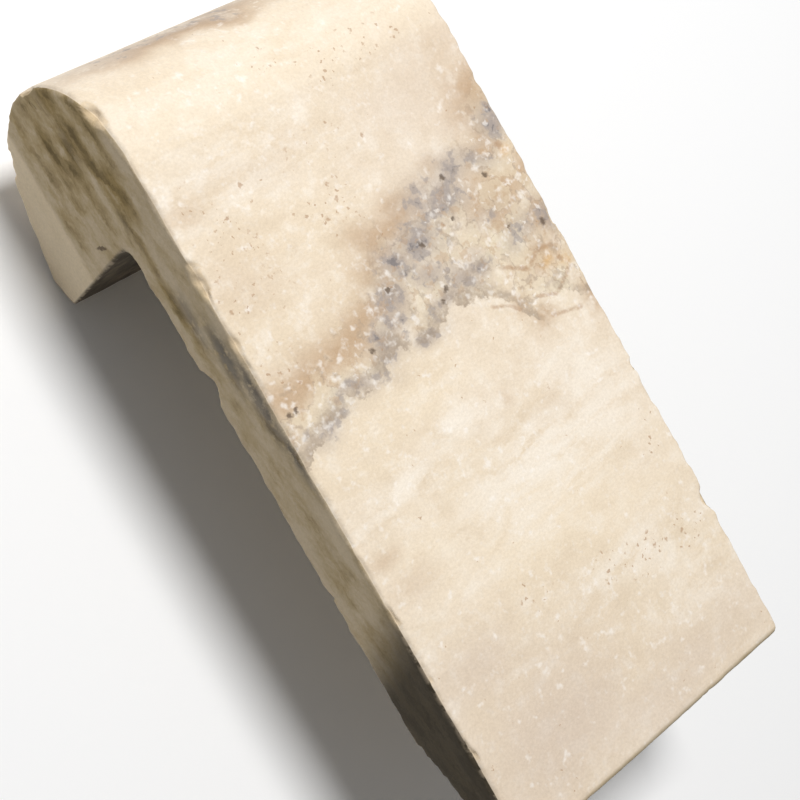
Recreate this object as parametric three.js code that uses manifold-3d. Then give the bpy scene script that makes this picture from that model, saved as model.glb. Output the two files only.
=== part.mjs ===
// A bullnose coping stone: one block of travertine. A flat slab beds on top of a wall, and its front edge
// turns down over the face of the wall in a half-round nose. Millimetres, +Z up, nose towards -Y. The origin
// is the middle of the bed, the flat underside of the slab. The near side is +X, the far side -X.
import * as THREE from "three";
import { mergeVertices } from "three/addons/utils/BufferGeometryUtils.js";
import Module from "manifold-3d";

const radians = THREE.MathUtils.degToRad;

// Driving sizes of the block
const WIDTH = 152; // along X, from joint to joint
const SLAB_THICKNESS = 32;
const BED_LENGTH = 251; // along Y, from the line of the heel to the tail
const NOSE_DEPTH = 70; // along Y, from the front of the nose to its back
const NOSE_RADIUS = 46; // of the half-round front, which runs smoothly into the top
const SKIRT_SLOPE = radians(21.5); // the straight run under the nose, falling towards the heel
const HEEL_RISE = radians(27); // the short run from under the heel up to its tip
const HEEL_DROP = 63; // how far that run lies below the bed where it passes the line of the heel
const HEEL_RADIUS = 6; // where the skirt turns into that run
const TIP_RADIUS = 3; // where that run turns into the back of the nose
const BACK_SET = 4.1; // how far the inner corner under the slab is set in from the line of the heel
const BACK_LEAN = radians(5.2); // the back of the nose, sawn a little out of upright
const INNER_RADIUS = 5; // where the back of the nose turns into the bed
const TAIL_RADIUS = 3; // of the two long arrises of the tail
const TAIL_SKEW = radians(1.5); // the tail is sawn a little out of square
const ARRIS_WEAR = 2; // rounding of the arrises round both joint faces

// How finely curves are cut into facets
const CURVE_FACETS = 22;
const ARRIS_FACETS = 3;

// Places that follow from the sizes
const SIDE = WIDTH / 2;
const TAIL_Y = BED_LENGTH / 2;
const BACK_Y = -BED_LENGTH / 2;
const NOSE_Y = BACK_Y - NOSE_DEPTH + NOSE_RADIUS;
const NOSE_Z = SLAB_THICKNESS - NOSE_RADIUS;

// The straight runs of the side view that the nose is rounded between: a point of each and the direction into
// the stone, as (Y, Z)
const SKIRT = { into: new THREE.Vector2(Math.sin(SKIRT_SLOPE), Math.cos(SKIRT_SLOPE)) };
SKIRT.start = new THREE.Vector2(NOSE_Y, NOSE_Z).addScaledVector(SKIRT.into, -NOSE_RADIUS);
const HEEL = {
  into: new THREE.Vector2(-Math.sin(HEEL_RISE), Math.cos(HEEL_RISE)),
  start: new THREE.Vector2(BACK_Y, -HEEL_DROP),
};
const BACK = {
  into: new THREE.Vector2(-Math.cos(BACK_LEAN), -Math.sin(BACK_LEAN)),
  start: new THREE.Vector2(BACK_Y - BACK_SET, 0),
};
const BED = { into: new THREE.Vector2(0, 1), start: new THREE.Vector2(0, 0) };

// Chips knocked out of the arrises: which arris, how far along it in mm (in degrees round the nose),
// how long the chip is and how deep it bites in from the sharp corner.
const CHIPS = [
  { arris: "nearTop", at: -107, length: 17, bite: 3.0 },
  { arris: "nearTop", at: -80, length: 20, bite: 2.1 },
  { arris: "nearTop", at: 4, length: 8, bite: 1.3 },
  { arris: "nearTop", at: 26, length: 9, bite: 1.6 },
  { arris: "nearTop", at: 52, length: 8, bite: 1.6 },
  { arris: "nearTop", at: 80, length: 22, bite: 1.8 },
  { arris: "nearNose", at: 120, length: 21, bite: 3.4 },
  { arris: "nearNose", at: 171, length: 14, bite: 1.8 },
  { arris: "nearNose", at: 228, length: 18, bite: 2.2 },
  { arris: "nearBed", at: -73, length: 16, bite: 3.8 },
  { arris: "nearBed", at: 12, length: 14, bite: 2.0 },
  { arris: "nearBed", at: 125, length: 100, bite: 9.0 },
  { arris: "farTop", at: 65, length: 13, bite: 3.0 },
  { arris: "farTop", at: -59, length: 18, bite: 1.6 },
  { arris: "farTop", at: 4, length: 12, bite: 1.5 },
  { arris: "farNose", at: 122, length: 19, bite: 2.4 },
  { arris: "farNose", at: 203, length: 16, bite: 2.0 },
  { arris: "farBed", at: -38, length: 18, bite: 2.6 },
  { arris: "farBed", at: 74, length: 24, bite: 3.4 },
  { arris: "tailTop", at: -29, length: 12, bite: 1.6 },
  { arris: "tailTop", at: 40, length: 15, bite: 1.8 },
  { arris: "tailBed", at: -44, length: 20, bite: 2.8 },
  { arris: "heel", at: 31, length: 18, bite: 2.2 },
];
const CHIP_FATNESS = 3; // a chip's radius across the arris, in bites
const CHIP_SPREAD = 1.3; // how much wider a chip is along the two faces than deep
const CHIP_ROUGHNESS = 0.22; // share of its radius by which the broken surface is uneven
const CHIP_UNEVENNESS = 1.5; // the most by which it is uneven, in mm
const CHIP_DETAIL = 1;

const wasm = await Module();
wasm.setup();

// The point as far inside two runs as the depth says. It is the centre of a rounding between them, with a depth
// below zero for a hollow corner, or their meeting point where the depth is zero.
function between(first, second, depth) {
  const reach = [first, second].map((run) => depth + run.into.dot(run.start));
  const turn = first.into.cross(second.into);
  return new THREE.Vector2(
    (reach[0] * second.into.y - reach[1] * first.into.y) / turn,
    (reach[1] * first.into.x - reach[0] * second.into.x) / turn,
  );
}

// The side view of the stone, drawn with the shape's x as Y and the shape's y as Z.
function sideOutline() {
  const quarter = Math.PI / 2;
  const skirtTurn = 3 * quarter - SKIRT_SLOPE;
  const heelTurn = 3 * quarter + HEEL_RISE;
  const heel = between(SKIRT, HEEL, HEEL_RADIUS);
  const tip = between(HEEL, BACK, TIP_RADIUS);
  const inner = between(BACK, BED, -INNER_RADIUS);
  const tailY = TAIL_Y - TAIL_RADIUS;
  const outline = new THREE.Shape();
  outline.moveTo(TAIL_Y, TAIL_RADIUS);
  outline.absarc(tailY, SLAB_THICKNESS - TAIL_RADIUS, TAIL_RADIUS, 0, quarter, false);
  outline.absarc(NOSE_Y, NOSE_Z, NOSE_RADIUS, quarter, skirtTurn, false);
  outline.absarc(heel.x, heel.y, HEEL_RADIUS, skirtTurn, heelTurn, false);
  outline.absarc(tip.x, tip.y, TIP_RADIUS, heelTurn, 4 * quarter + BACK_LEAN, false);
  outline.absarc(inner.x, inner.y, INNER_RADIUS, 2 * quarter + BACK_LEAN, quarter, true);
  outline.absarc(tailY, TAIL_RADIUS, TAIL_RADIUS, 3 * quarter, 4 * quarter, false);
  return outline;
}

// How far the tail stands out from square at a place across the width.
function tailOffset(x) {
  return -x * Math.tan(TAIL_SKEW);
}

// The whole block before it was knocked about: the outline carried across the width with worn arrises,
// then its tail skewed.
function squareBlock() {
  const geometry = new THREE.ExtrudeGeometry(sideOutline(), {
    depth: WIDTH - 2 * ARRIS_WEAR,
    curveSegments: CURVE_FACETS,
    bevelEnabled: true,
    bevelThickness: ARRIS_WEAR,
    bevelSize: ARRIS_WEAR,
    bevelOffset: -ARRIS_WEAR,
    bevelSegments: ARRIS_FACETS,
  });
  geometry.translate(0, 0, ARRIS_WEAR - SIDE);
  const [x, y, z] = [new THREE.Vector3(1, 0, 0), new THREE.Vector3(0, 1, 0), new THREE.Vector3(0, 0, 1)];
  geometry.applyMatrix4(new THREE.Matrix4().makeBasis(y, z, x));
  const position = geometry.getAttribute("position");
  for (let i = 0; i < position.count; i++) {
    if (position.getY(i) > 0) {
      position.setY(i, position.getY(i) + tailOffset(position.getX(i)));
    }
  }
  return bare(geometry);
}

// A geometry of positions alone, with shared vertices merged.
function bare(geometry) {
  geometry.deleteAttribute("normal");
  geometry.deleteAttribute("uv");
  return mergeVertices(geometry);
}

// A point on an arris, the direction out of the corner there and the direction along the arris.
function onArris(name, at) {
  const across = name.startsWith("near") ? SIDE : -SIDE;
  const side = Math.sign(across);
  const turn = radians(at);
  const tip = between(HEEL, BACK, 0);
  const places = {
    Top: [[across, at, SLAB_THICKNESS], [side, 0, 1], [0, 1, 0]],
    Bed: [[across, at, 0], [side, 0, -1], [0, 1, 0]],
    Nose: [
      [across, NOSE_Y + NOSE_RADIUS * Math.cos(turn), NOSE_Z + NOSE_RADIUS * Math.sin(turn)],
      [side, Math.cos(turn), Math.sin(turn)],
      [0, -Math.sin(turn), Math.cos(turn)],
    ],
    tailTop: [[at, TAIL_Y + tailOffset(at), SLAB_THICKNESS], [0, 1, 1], [1, 0, 0]],
    tailBed: [[at, TAIL_Y + tailOffset(at), 0], [0, 1, -1], [1, 0, 0]],
    heel: [[at, tip.x, tip.y], [0, 2, -1], [1, 0, 0]],
  };
  const place = places[name] ?? places[name.replace(/near|far/, "")];
  const [point, outward, along] = place.map((v) => new THREE.Vector3(...v));
  return { point, outward: outward.normalize(), along };
}

// A repeatable number from 0 to 1 for each whole number.
function uneven(n) {
  const value = Math.sin(n * 12.9898) * 43758.5453;
  return value - Math.floor(value);
}

// The lump that a chip takes away: an uneven ball, stretched along the arris and sunk into the corner.
function chipLump({ arris, at, length, bite }, number) {
  const { point, outward, along } = onArris(arris, at);
  const radius = CHIP_FATNESS * bite;
  const out = radius - bite;
  const reach = length / 2 / Math.sqrt(1 - (out / radius) ** 2);
  const across = new THREE.Vector3().crossVectors(outward, along);
  const roughness = Math.min(CHIP_ROUGHNESS, CHIP_UNEVENNESS / radius);
  const lump = bare(new THREE.IcosahedronGeometry(1, CHIP_DETAIL));
  const position = lump.getAttribute("position");
  for (let i = 0; i < position.count; i++) {
    const swell = 1 + roughness * (uneven(i + position.count * number) - 0.5);
    position.setXYZ(i, position.getX(i) * swell, position.getY(i) * swell, position.getZ(i) * swell);
  }
  const place = new THREE.Matrix4().makeBasis(
    along.clone().multiplyScalar(reach),
    across.multiplyScalar(radius * CHIP_SPREAD),
    outward.clone().multiplyScalar(radius),
  );
  place.setPosition(point.clone().addScaledVector(outward, out));
  return lump.applyMatrix4(place);
}

// A closed geometry as a solid that can be cut.
function toSolid(geometry) {
  const mesh = new wasm.Mesh({
    numProp: 3,
    vertProperties: new Float32Array(geometry.getAttribute("position").array),
    triVerts: new Uint32Array(geometry.getIndex().array),
  });
  return new wasm.Manifold(mesh);
}

// A cut solid as a geometry again.
function toGeometry(solid) {
  const mesh = solid.getMesh();
  const geometry = new THREE.BufferGeometry();
  geometry.setAttribute("position", new THREE.BufferAttribute(mesh.vertProperties, 3));
  geometry.setIndex(new THREE.BufferAttribute(mesh.triVerts, 1));
  geometry.computeVertexNormals();
  return geometry;
}

function copingStone() {
  let solid = toSolid(squareBlock());
  CHIPS.forEach((chip, number) => {
    solid = solid.subtract(toSolid(chipLump(chip, number)));
  });
  const travertine = new THREE.MeshStandardMaterial({ color: 0xe8d6ba, roughness: 0.7, metalness: 0 });
  const stone = new THREE.Mesh(toGeometry(solid), travertine);
  stone.name = "coping_stone";
  return stone;
}

const part = new THREE.Group();
part.add(copingStone());

export default part;
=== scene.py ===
"""A bullnose coping stone of cream travertine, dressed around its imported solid.

Metres, +Z up, nose towards -Y. The origin is the middle of the bed, the flat underside of the slab. The near
side is +X, the far side -X. Sizes written in millimetres are multiplied by MM.
"""
import math

import bpy
import numpy as np
from mathutils import Matrix, Vector


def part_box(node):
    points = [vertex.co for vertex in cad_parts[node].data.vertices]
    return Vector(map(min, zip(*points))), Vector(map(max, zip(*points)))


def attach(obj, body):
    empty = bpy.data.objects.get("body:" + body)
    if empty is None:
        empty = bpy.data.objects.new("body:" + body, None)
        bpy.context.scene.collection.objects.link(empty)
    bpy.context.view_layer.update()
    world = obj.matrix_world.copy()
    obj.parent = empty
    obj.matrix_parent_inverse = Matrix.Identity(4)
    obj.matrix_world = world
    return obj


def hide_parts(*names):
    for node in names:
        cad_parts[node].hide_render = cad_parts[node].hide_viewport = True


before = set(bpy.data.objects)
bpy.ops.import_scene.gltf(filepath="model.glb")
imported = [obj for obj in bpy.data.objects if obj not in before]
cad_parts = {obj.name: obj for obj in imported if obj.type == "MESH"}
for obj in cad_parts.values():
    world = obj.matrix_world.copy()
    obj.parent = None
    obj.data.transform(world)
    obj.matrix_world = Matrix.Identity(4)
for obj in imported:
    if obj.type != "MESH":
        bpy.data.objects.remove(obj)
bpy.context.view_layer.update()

MM = 0.001

# The block, read from the box of its solid where that gives it
LOW, HIGH = (np.array(corner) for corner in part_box("coping_stone"))
SIDE = HIGH[0]
TOP = HIGH[2]
FRONT_Y = LOW[1]
BED_LENGTH = 251 * MM
NOSE_RADIUS = 46 * MM
SKIRT_SLOPE = math.radians(21.5)
HEEL_RISE = math.radians(27)
HEEL_DROP = 63 * MM
HEEL_RADIUS = 6 * MM
TIP_RADIUS = 3 * MM
BACK_SET = 4.1 * MM
BACK_LEAN = math.radians(5.2)
INNER_RADIUS = 5 * MM
TAIL_RADIUS = 3 * MM
TAIL_SKEW = math.radians(1.5)
TAIL_Y = BED_LENGTH / 2
BACK_Y = -BED_LENGTH / 2
NOSE_Y = FRONT_Y + NOSE_RADIUS
NOSE_Z = TOP - NOSE_RADIUS

# The straight runs that the nose is rounded between: the direction into the stone and a point, as (y, z)
SKIRT_INTO = np.array((math.sin(SKIRT_SLOPE), math.cos(SKIRT_SLOPE)))
SKIRT = (SKIRT_INTO, (NOSE_Y, NOSE_Z) - NOSE_RADIUS * SKIRT_INTO)
HEEL = ((-math.sin(HEEL_RISE), math.cos(HEEL_RISE)), (BACK_Y, -HEEL_DROP))
BACK = ((-math.cos(BACK_LEAN), -math.sin(BACK_LEAN)), (BACK_Y - BACK_SET, 0))
BED = ((0, 1), (0, 0))

# How many steps the surface has along each run of the side view and across the width, how those across
# crowd towards the joint faces, and how many points draw an arc and a small bend
NOSE_STEPS = 78
SLAB_STEPS = 206
TAIL_STEPS = 22
BACK_STEPS = 36
TIP_STEPS = 4
HEEL_STEPS = 14
WIDTH_STEPS = 122
EDGE_SHARE = 0.05
EDGE_FINENESS = 0.62
ARC_POINTS = 48
BEND_POINTS = 9

# Wear of the arrises round the two joint faces
WEAR_LEAST = 1.2 * MM
WEAR_MOST = 3.3 * MM
WEAR_SPAN = 13 * MM
WEAR_RISE = (0.2, 0.85)
WEAR_OF_BED = 0.55

# Chips out of the arrises: arris, place along it in mm (degrees round the nose), length and bite in mm
CHIPS = (
    ("nearTop", -107, 17, 3.0),
    ("nearTop", -80, 20, 2.1),
    ("nearTop", 4, 8, 1.3),
    ("nearTop", 26, 9, 1.6),
    ("nearTop", 52, 8, 1.6),
    ("nearTop", 80, 22, 1.8),
    ("nearNose", 120, 21, 3.4),
    ("nearNose", 171, 14, 1.8),
    ("nearNose", 228, 18, 2.2),
    ("nearBed", -73, 16, 3.8),
    ("nearBed", 12, 14, 2.0),
    ("nearBed", 125, 100, 9.0),
    ("farTop", 65, 13, 3.0),
    ("farTop", -59, 18, 1.6),
    ("farTop", 4, 12, 1.5),
    ("farNose", 122, 19, 2.4),
    ("farNose", 203, 16, 2.0),
    ("farBed", -38, 18, 2.6),
    ("farBed", 74, 24, 3.4),
    ("tailTop", -29, 12, 1.6),
    ("tailTop", 40, 15, 1.8),
    ("tailBed", -44, 20, 2.8),
    ("heel", 31, 18, 2.2),
)

# The balls that the chips are cut with: radius in bites, width in radii, and how uneven they are
CHIP_FATNESS = 3
CHIP_SPREAD = 1.3
CHIP_ROUGHNESS = 0.28
CHIP_UNEVENNESS = 1.2 * MM
CHIP_GRAIN = 3.6 * MM

# The vein band across the top, in mm: where its tail side and its nose side lie at places across the width
BAND_TAIL_SIDE = (
    (-80, -27), (-70, -31), (-62, -38), (-53, -36), (-47, -29), (-41, -35), (-37, -44), (-28, -50),
    (-20, -52), (-11, -55), (-1, -49), (9, -49), (19, -52), (23, -51), (33, -46), (47, -44), (61, -42),
    (74, -34), (80, -32),
)
BAND_NOSE_SIDE = (
    (-80, -131), (-66, -122), (-55, -112), (-45, -104), (-30, -104), (-15, -101), (0, -97), (12, -87),
    (20, -77), (32, -73), (45, -70), (60, -68), (80, -62),
)

# How the band sinks on the joint faces: mm towards the nose for each mm of depth, and for each mm squared
BAND_DIP = 1.6
BAND_DIP_GROWTH = 0.075

# The tan halo inside the band's nose side, in mm: depth, width, and where it fades out across the stone
HALO_DEPTH = 7
HALO_WIDTH = 8
HALO_STRENGTH = 0.9
HALO_ENDS = (-34, -8)

# Soft patches on the top, in mm: place across, place along, half width, half length, strength
TOP_PATCHES = {
    "grey": (
        (-13, -80, 13, 8, 1.0), (-29, -92, 16, 9, 1.0), (-42, -98, 12, 7, 0.9), (2, -78, 10, 8, 0.9),
        (-56, -98, 10, 6, 0.7), (-73, -108, 11, 7, 1.0), (11, -69, 8, 7, 0.9), (-8, -69, 9, 6, 0.8),
        (-20, -62, 11, 7, 0.85), (-30, -64, 7, 5, 0.9), (-10, -57, 10, 3, 0.9), (-57, -65, 9, 6, 0.6),
        (-74, -66, 8, 7, 0.9), (40, -47, 14, 4, 0.8), (62, -42, 14, 4, 0.8), (22, -56, 9, 7, 0.9),
        # the last patch on the next line lies across the nose's upper front: a grey streak, partly painted
        # shade where the nose turns from the light
        (4, -51, 9, 3, 0.9), (14, -62, 8, 8, 0.8), (-46, -78, 10, 5, 0.4), (20, -191, 46, 4, 0.5),
    ),
    "tan": (
        (60, -62, 16, 6, 0.7), (36, -64, 14, 8, 0.9), (17, -74, 9, 11, 0.8), (5, -90, 11, 8, 0.9),
        (-9, -98, 10, 5, 0.8), (-70, -120, 13, 10, 1.0), (-61, -116, 10, 8, 0.7), (-66, -107, 9, 5, 0.8),
        (-62, -101, 9, 6, 0.7), (-56, -80, 18, 12, 0.95), (-68, -68, 12, 10, 0.9), (-36, -104, 8, 3, 0.5),
        (-46, -31, 6, 5, 0.9), (-39, -42, 5, 6, 0.8), (-73, -31, 5, 8, 0.9), (-60, -52, 14, 5, 0.8),
        (29, -55, 8, 4, 0.6), (-72, -84, 8, 10, 0.9), (-75, -56, 5, 9, 0.9), (68, 7, 7, 4, 0.5),
        # the last two patches on the next line lie across the nose's upper front: a brown streak, partly
        # painted shade where the nose turns from the light
        (62, 20, 14, 5, 0.35), (-12, -14, 3, 3, 0.35), (18, -188, 50, 4, 1.0), (-4, -185, 26, 2.5, 0.6),
        (68, -129, 10, 5, 0.35), (-70, -140, 20, 12, 0.3), (-30, -3, 9, 6, 0.22), (62, -100, 14, 14, 0.25),
    ),
    "rust": (
        (-63, -49, 4, 2.5, 1.0), (-69, -97, 2.5, 2, 1.0), (-70, -47, 3, 2.5, 0.8), (-60, -100, 3, 2, 0.5),
    ),
    "cream": (
        (-46, -68, 14, 9, 0.9), (-4, -62, 8, 6, 0.8), (-24, -74, 8, 5, 0.8), (48, -51, 22, 4, 0.7),
        (2, -74, 8, 4, 0.7), (-30, -56, 8, 4, 0.9), (-62, -40, 10, 6, 0.8),
    ),
    "rosy": (
        (40, 96, 44, 30, 1.0), (58, 60, 24, 16, 0.8), (-20, 112, 70, 16, 0.7), (-46, -128, 36, 20, 0.5),
        (30, -132, 40, 8, 0.3),
    ),
    "pale": (
        (-20, 14, 56, 16, 1.0), (46, -8, 26, 6, 1.0), (14, -16, 18, 6, 1.0), (-10, -3, 14, 7, 1.0),
        (-34, 16, 16, 9, 1.0), (-54, -3, 20, 16, 0.9), (20, -168, 70, 14, 0.6), (40, -136, 34, 14, 0.7),
        (-28, 64, 40, 7, 0.8), (-50, 92, 24, 16, 0.5),
    ),
    "yellow": (
        (0, 30, 60, 18, 1.0), (44, 18, 30, 16, 0.9), (-40, 46, 36, 12, 0.8), (24, -32, 44, 9, 0.7),
        (10, -160, 70, 10, 0.3),
    ),
    "pitted": (
        (-18, 63, 12, 6, 1.6), (-38, 66, 15, 6, 1.8), (-56, 69, 11, 6, 1.8), (20, 53, 8, 4, 1.0),
        (-61, 36, 7, 4, 0.8), (60, -110, 26, 40, 0.42), (16, -108, 20, 14, 0.5), (-24, -156, 54, 14, 0.45),
        (66, -66, 14, 16, 0.5), (8, -130, 30, 14, 0.4),
    ),
}

# Holes in the top, painted dark as the shade in them, and rusty spots, in mm: place across, place along,
# radius. The rim is in radii
HOLES = (
    (-12.9, -79.3, 1.5), (10, -71.4, 1.2), (-12.9, -60.7, 1.4), (29.3, -55.7, 1.3), (-36.4, -97, 1.4),
    (-55, -90.3, 1.2), (-31.4, -82, 1.0), (-70, -63.6, 1.7), (71.4, -52, 1.3), (68.3, -52.4, 1.0),
    (-9.3, -57, 1.1), (-53.6, -68.6, 0.9),
)
RUST_SPOTS = (
    (17.9, -104, 1.0), (10, -109, 0.8), (10.7, -115, 0.7), (42.9, -128.6, 0.8), (5, -169, 0.8),
    (-56, 68.5, 1.0), (-26, -81.4, 1.1), (-68.6, -97.6, 1.9), (70.7, -92, 0.9), (-13.6, -125, 0.8),
    (-49, -152, 0.8), (-22, -157, 0.7), (-68.6, -47.9, 1.5), (66, -66, 0.9), (-40, 66, 0.8),
    (-47, 67, 0.8), (22, 53, 0.8),
)
SPOT_RIM = (1.4, 0.4)

# Thin brown seams at the far end of the band, in mm: the bends of each line as places across and along
SEAMS = (
    ((-40, -57.5), (-45, -55), (-52, -50.5)),
    ((-54, -52), (-60, -54.5), (-68, -53.5)),
    ((-49, -40), (-58, -37), (-66, -40), (-72, -45)),
    ((-51, -30), (-58, -29), (-66, -28)),
    ((-27, -46), (-35, -43), (-39, -39)),
)

# Soft patches on the joint faces, in mm: place along, height, half length, half height, strength. On the
# far side they are weaker and shifted
SIDE_PATCHES = {
    "streak": (
        (-172, 1, 14, 6, 1.0), (-147, 14, 13, 6, 1.0), (-188, 2, 9, 8, 0.9), (-160, 8, 34, 6, 0.8),
        (-112, 10, 34, 3, 0.8), (-174, -13, 18, 4, 0.8), (-184, -26, 12, 5, 0.6), (-158, -30, 18, 4, 0.5),
        (-80, 21, 14, 4, 0.5), (20, 14, 60, 6, 0.3), (-168, 20, 20, 6, 0.6), (-150, -18, 14, 5, 0.5),
        (-168, -2, 36, 26, 0.6),
    ),
    "dull": ((-40, 30, 12, 3, 1.3), (-60, 27, 16, 4, 1.5), (-80, 22, 14, 4.5, 1.5), (-98, 15, 11, 3.5, 0.9)),
}
FAR_SIDE_STRENGTH = 0.6
FAR_SIDE_SHIFT = 24

# Painted shadow on the near joint face towards the tail, in mm: where it starts and is full at the top, and
# how it slants back
PAINTED_SHADOW_RISE = (13, 44)
PAINTED_SHADOW_SLANT = 0.5

# The narrow hole in the near joint face, painted dark as the shade in it, in mm and degrees: its middle, its
# half sizes, its tilt and its rim
SLOT_PLACE = (76, -134.8, -17)
SLOT_HALF = (4, 1.1, 4.4)
SLOT_TILT = -20
SLOT_RIM = (1.1, 0.6)

# How the marks wander, in mm, the share of that wander in each kind of edge, and how soft the edges are
PATCH_WARP = 5
PATCH_WARP_SPAN = 16 * MM
BED_WANDER = 1 / 3
SEAM_WANDER = 1 / 4
SKIRT_WANDER = 1 / 6
NOSE_WANDER = 1 / 8
NOSE_BLUR = 0.7
SKIRT_TOP = -36
SKIRT_BLUR = 1.2

# The depths between which a chip shows, how strongly the bed is darkened by painted shade and mortar
# soiling, a distance in mm that no mark reaches, and the shortest length that a normal is divided by
CHIP_RISE = (0.05 * MM, 0.6 * MM)
SHADE_AND_SOIL_ON_BED = 0.40
FAR_AWAY = 99.0
TINY = 1e-12

# Relief on the surface: how high it is and how long its waves are
WAVE = 0.30 * MM
WAVE_SPAN = 46 * MM
GRAIN_DRESSED = 0.05 * MM
GRAIN_SAWN = 0.22 * MM
GRAIN_SPAN = 7 * MM
GRAIN_BROKEN = 0.45 * MM
GRAIN_WORN = 0.60 * MM
BROKEN_SPAN = 4 * MM
SEED = 7

# The camera: where it stands, what it looks at, and how far it is turned about its own axis
CAMERA_PLACE = Vector((0.32885, -0.09191, 0.48692))
CAMERA_AIM = Vector((0.02912, -0.03577, TOP))
CAMERA_ROLL = math.radians(69.24)
CAMERA_LENS = 69.33
SENSOR_WIDTH = 36.0

# The floor, the lamp and the pale surroundings
FLOOR_REACH = 6.0
FLOOR_WHITE = 0.93
FLOOR_ROUGHNESS = 0.9
KEY_PLACE = (-0.19, -0.75, 1.75)
KEY_AIM = (0, -0.02, 0)
KEY_SIZE = 0.5
KEY_POWER = 35.5
SURROUNDINGS = 0.20

# How lattice numbers are mixed: multipliers for the axes and the seed, and shifts with their multipliers
AXIS_MIXERS = (374761393, 668265263, 2147483647)
SEED_MIXER = 69069
FOLDS = ((13, 1274126177), (16, 2246822519))
LAST_FOLD = 15
LATTICE_MOST = 0xFFFF


def lattice_value(corner, seed):
    """A repeatable number from 0 to 1 for each whole-numbered point: its three numbers and the seed are
    mixed by multiplying with large odd numbers and folding the high bits down."""
    mixed = corner.astype(np.uint32) * np.array(AXIS_MIXERS, np.uint32)
    number = mixed[..., 0] ^ mixed[..., 1] ^ mixed[..., 2] ^ np.uint32(seed * SEED_MIXER + 1)
    for shift, mixer in FOLDS:
        number = (number ^ (number >> np.uint32(shift))) * np.uint32(mixer)
    return ((number ^ (number >> np.uint32(LAST_FOLD))) & np.uint32(LATTICE_MOST)) / LATTICE_MOST


def swell(points, span, seed):
    """Smooth noise from 0 to 1 with waves about one span long: the eight numbers at the corners of each
    point's cube of the lattice, blended along each axis by 3t^2 - 2t^3."""
    place = points / span
    base = np.floor(place)
    t = place - base
    t = t * t * (3 - 2 * t)
    base = base.astype(np.int64)
    total = np.zeros(len(points))
    for corner in np.ndindex(2, 2, 2):
        share = np.prod(np.where(np.array(corner) == 1, t, 1 - t), axis=1)
        total += share * lattice_value(base + np.array(corner), seed)
    return total


def rough(points, span, seed, octaves=4):
    """Noise with detail from -1 to 1: octaves of swell, each half as long and half as strong as the
    last."""
    total = np.zeros(len(points))
    strength = 1.0
    reach = 0.0
    for octave in range(octaves):
        total += strength * (2 * swell(points, span / 2 ** octave, seed + octave) - 1)
        reach += strength
        strength *= 0.5
    return total / reach


def smooth_step(value, low, high):
    """0 below low, 1 above high and 3t^2 - 2t^3 between."""
    t = np.clip((value - low) / (high - low), 0, 1)
    return t * t * (3 - 2 * t)


def graded(count):
    """Fractions from 0 to 1 in count steps, with shorter steps near both ends: the steps lose a bell-shaped
    share at the ends, and their running sum is scaled to 1."""
    middle = (np.arange(count) + 0.5) / count
    bell = np.exp(-(middle / EDGE_SHARE) ** 2) + np.exp(-((1 - middle) / EDGE_SHARE) ** 2)
    run = np.cumsum(1 - EDGE_FINENESS * bell)
    return np.concatenate(((0.0,), run / run[-1]))


def arc(centre, radius, start, end, count=ARC_POINTS):
    """Points on a circle about a centre, from one angle to another."""
    turn = np.radians(np.linspace(start, end, count))
    return np.stack((centre[0] + radius * np.cos(turn), centre[1] + radius * np.sin(turn)), axis=1)


def along(points, fractions):
    """Points at fractions of the length of a run of straight pieces."""
    length = np.concatenate(((0.0,), np.cumsum(np.linalg.norm(np.diff(points, axis=0), axis=1))))
    wanted = fractions * length[-1]
    return np.stack([np.interp(wanted, length, points[:, axis]) for axis in (0, 1)], axis=1)


def between(first, second, depth):
    """The point as far inside two runs as the depth says, which is the centre of a rounding between them
    (with a depth below zero for a hollow corner): the two distances make a pair of linear equations."""
    into, starts = np.array((first, second), float).transpose(1, 0, 2)
    return np.linalg.solve(into, depth + (into * starts).sum(axis=1))


def side_runs():
    """The side view as six runs of (y, z) points that follow each other round the stone: from the front of
    the nose over its top, along the slab, down the tail, along the bed, down the back of the nose and under
    it to the front again."""
    slope, rise, lean = (math.degrees(angle) for angle in (SKIRT_SLOPE, HEEL_RISE, BACK_LEAN))
    tail_y = TAIL_Y - TAIL_RADIUS
    hollow = arc(between(BACK, BED, -INNER_RADIUS), INNER_RADIUS, 90, 180 + lean, BEND_POINTS)
    under = np.vstack((
        arc(between(HEEL, BACK, TIP_RADIUS), TIP_RADIUS, 360 + lean, 270 + rise, BEND_POINTS),
        arc(between(SKIRT, HEEL, HEEL_RADIUS), HEEL_RADIUS, 270 + rise, 270 - slope, BEND_POINTS),
        arc((NOSE_Y, NOSE_Z), NOSE_RADIUS, 270 - slope, 180),
    ))
    crown_y = hollow[0, 0]
    over = np.vstack((arc((NOSE_Y, NOSE_Z), NOSE_RADIUS, 180, 90), ((crown_y, TOP),)))
    top = np.array(((crown_y, TOP), (tail_y, TOP)))
    tail = np.vstack((
        arc((tail_y, TOP - TAIL_RADIUS), TAIL_RADIUS, 90, 0, BEND_POINTS),
        arc((tail_y, TAIL_RADIUS), TAIL_RADIUS, 0, -90, BEND_POINTS),
    ))
    bed = np.array(((tail_y, 0), hollow[0]))
    back = np.vstack((hollow, under[:1]))
    even = np.linspace(0, 1, NOSE_STEPS + 1)
    return (
        along(over, even),
        along(top, np.linspace(0, 1, SLAB_STEPS + 1)),
        along(tail, np.linspace(0, 1, TAIL_STEPS + 1)),
        along(bed, np.linspace(0, 1, SLAB_STEPS + 1)),
        along(back, np.linspace(0, 1, BACK_STEPS + 1)),
        along(under, even),
    )


def outward_normals(loop):
    """The unit normals that point out of a loop of (y, z) points run clockwise: each is the direction from
    the point before to the point after, turned a quarter left."""
    run = np.roll(loop, -1, axis=0) - np.roll(loop, 1, axis=0)
    normal = np.stack((-run[:, 1], run[:, 0]), axis=1)
    return normal / np.linalg.norm(normal, axis=1, keepdims=True)


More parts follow.
